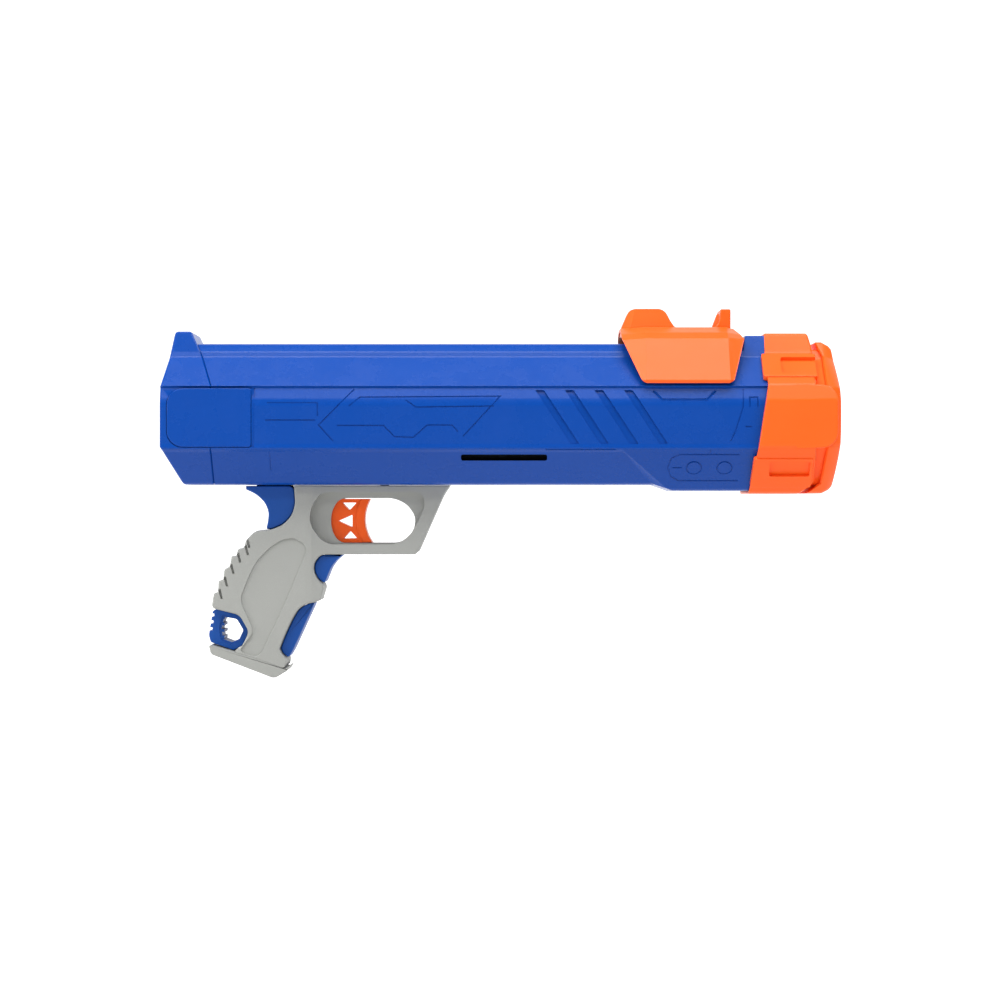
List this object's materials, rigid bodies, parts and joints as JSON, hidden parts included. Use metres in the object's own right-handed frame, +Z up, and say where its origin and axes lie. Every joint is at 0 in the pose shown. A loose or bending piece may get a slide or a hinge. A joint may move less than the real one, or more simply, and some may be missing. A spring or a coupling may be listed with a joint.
{
  "type": "dog tennis ball launcher",
  "caption": "Hand-held spring launcher that throws a tennis ball for a dog, with a sliding priming handle on top, a pistol grip and a trigger.",
  "frame": {"origin": "on the barrel's axis, in the middle of the flat face at the back of the rear cap", "axes": "+X along the barrel towards the muzzle, +Z up, away from the grip; the launcher's right side is -Y"},
  "size_m": [0.402, 0.0988, 0.2219],
  "materials": {
    "blue_plastic": "moulded blue plastic, satin gloss",
    "insert_blue": "soft-touch blue plastic",
    "orange_plastic": "moulded orange plastic, satin gloss",
    "grey_plastic": "moulded light grey plastic, fine texture",
    "barrel_plastic": "dark moulded plastic",
    "dark_rubber": "soft black rubber",
    "nylon": "natural white nylon",
    "steel": "zinc-plated steel"
  },
  "bodies": {
    "launcher": {"body_shell_right": "blue_plastic", "body_shell_left": "blue_plastic", "rear_cap": "blue_plastic", "side_plate_right": "blue_plastic", "side_plate_left": "blue_plastic", "spring_bulkhead": "barrel_plastic", "spring_guide_rod": "nylon", "barrel_rear_plate": "barrel_plastic", "barrel_tube": "barrel_plastic", "muzzle_ring": "orange_plastic", "ball_retainer": "dark_rubber", "main_spring": "steel", "trigger_spring": "steel", "sear_spring": "steel", "grip_shell_right": "grey_plastic", "grip_shell_left": "grey_plastic", "grip_core": "insert_blue", "front_insert_upper": "insert_blue", "front_insert_lower": "insert_blue", "lanyard_loop": "insert_blue", "grip_base_cap": "grey_plastic", "sear_pin": "steel", "body_screw_1": "steel", "body_screw_2": "steel", "body_screw_3": "steel", "body_screw_4": "steel", "grip_screw_1": "steel", "grip_screw_2": "steel", "grip_screw_3": "steel", "grip_screw_4": "steel", "ring_screw_1": "steel", "ring_screw_2": "steel"},
    "handle": {"priming_handle": "orange_plastic", "handle_carriage": "nylon", "carriage_screw_1": "steel", "carriage_screw_2": "steel"},
    "plunger": {"plunger": "nylon", "plunger_pad": "dark_rubber", "pad_screw": "steel"},
    "trigger": {"trigger": "orange_plastic"},
    "sear": {"sear": "steel"}
  },
  "joints": [
    {"name": "priming_slide", "type": "slide", "parent": "launcher", "child": "handle", "axis": [-1, 0, 0], "range_m": [0, 0.15]},
    {"name": "plunger_slide", "type": "slide", "parent": "launcher", "child": "plunger", "axis": [-1, 0, 0], "range_m": [0, 0.15], "stiffness_N_per_m": 250, "springref_m": -0.02, "deforming": ["main_spring"]},
    {"name": "trigger_slide", "type": "slide", "parent": "launcher", "child": "trigger", "axis": [-1, 0, 0], "range_m": [0, 0.008], "stiffness_N_per_m": 300, "springref_m": -0.003, "deforming": ["trigger_spring"]},
    {"name": "sear_pivot", "type": "hinge", "parent": "launcher", "child": "sear", "pos_m": [0.112, 0, -0.0469], "axis": [0, 1, 0], "range_deg": [0, 12], "stiffness_Nm_per_rad": 0.02, "springref_deg": -2.86, "deforming": ["sear_spring"]}
  ],
  "couplings": [
    {"joint": "plunger_slide", "follows": "priming_slide", "ratio": 1},
    {"joint": "sear_pivot", "follows": "trigger_slide", "rad_per_m": 26.17}
  ]
}
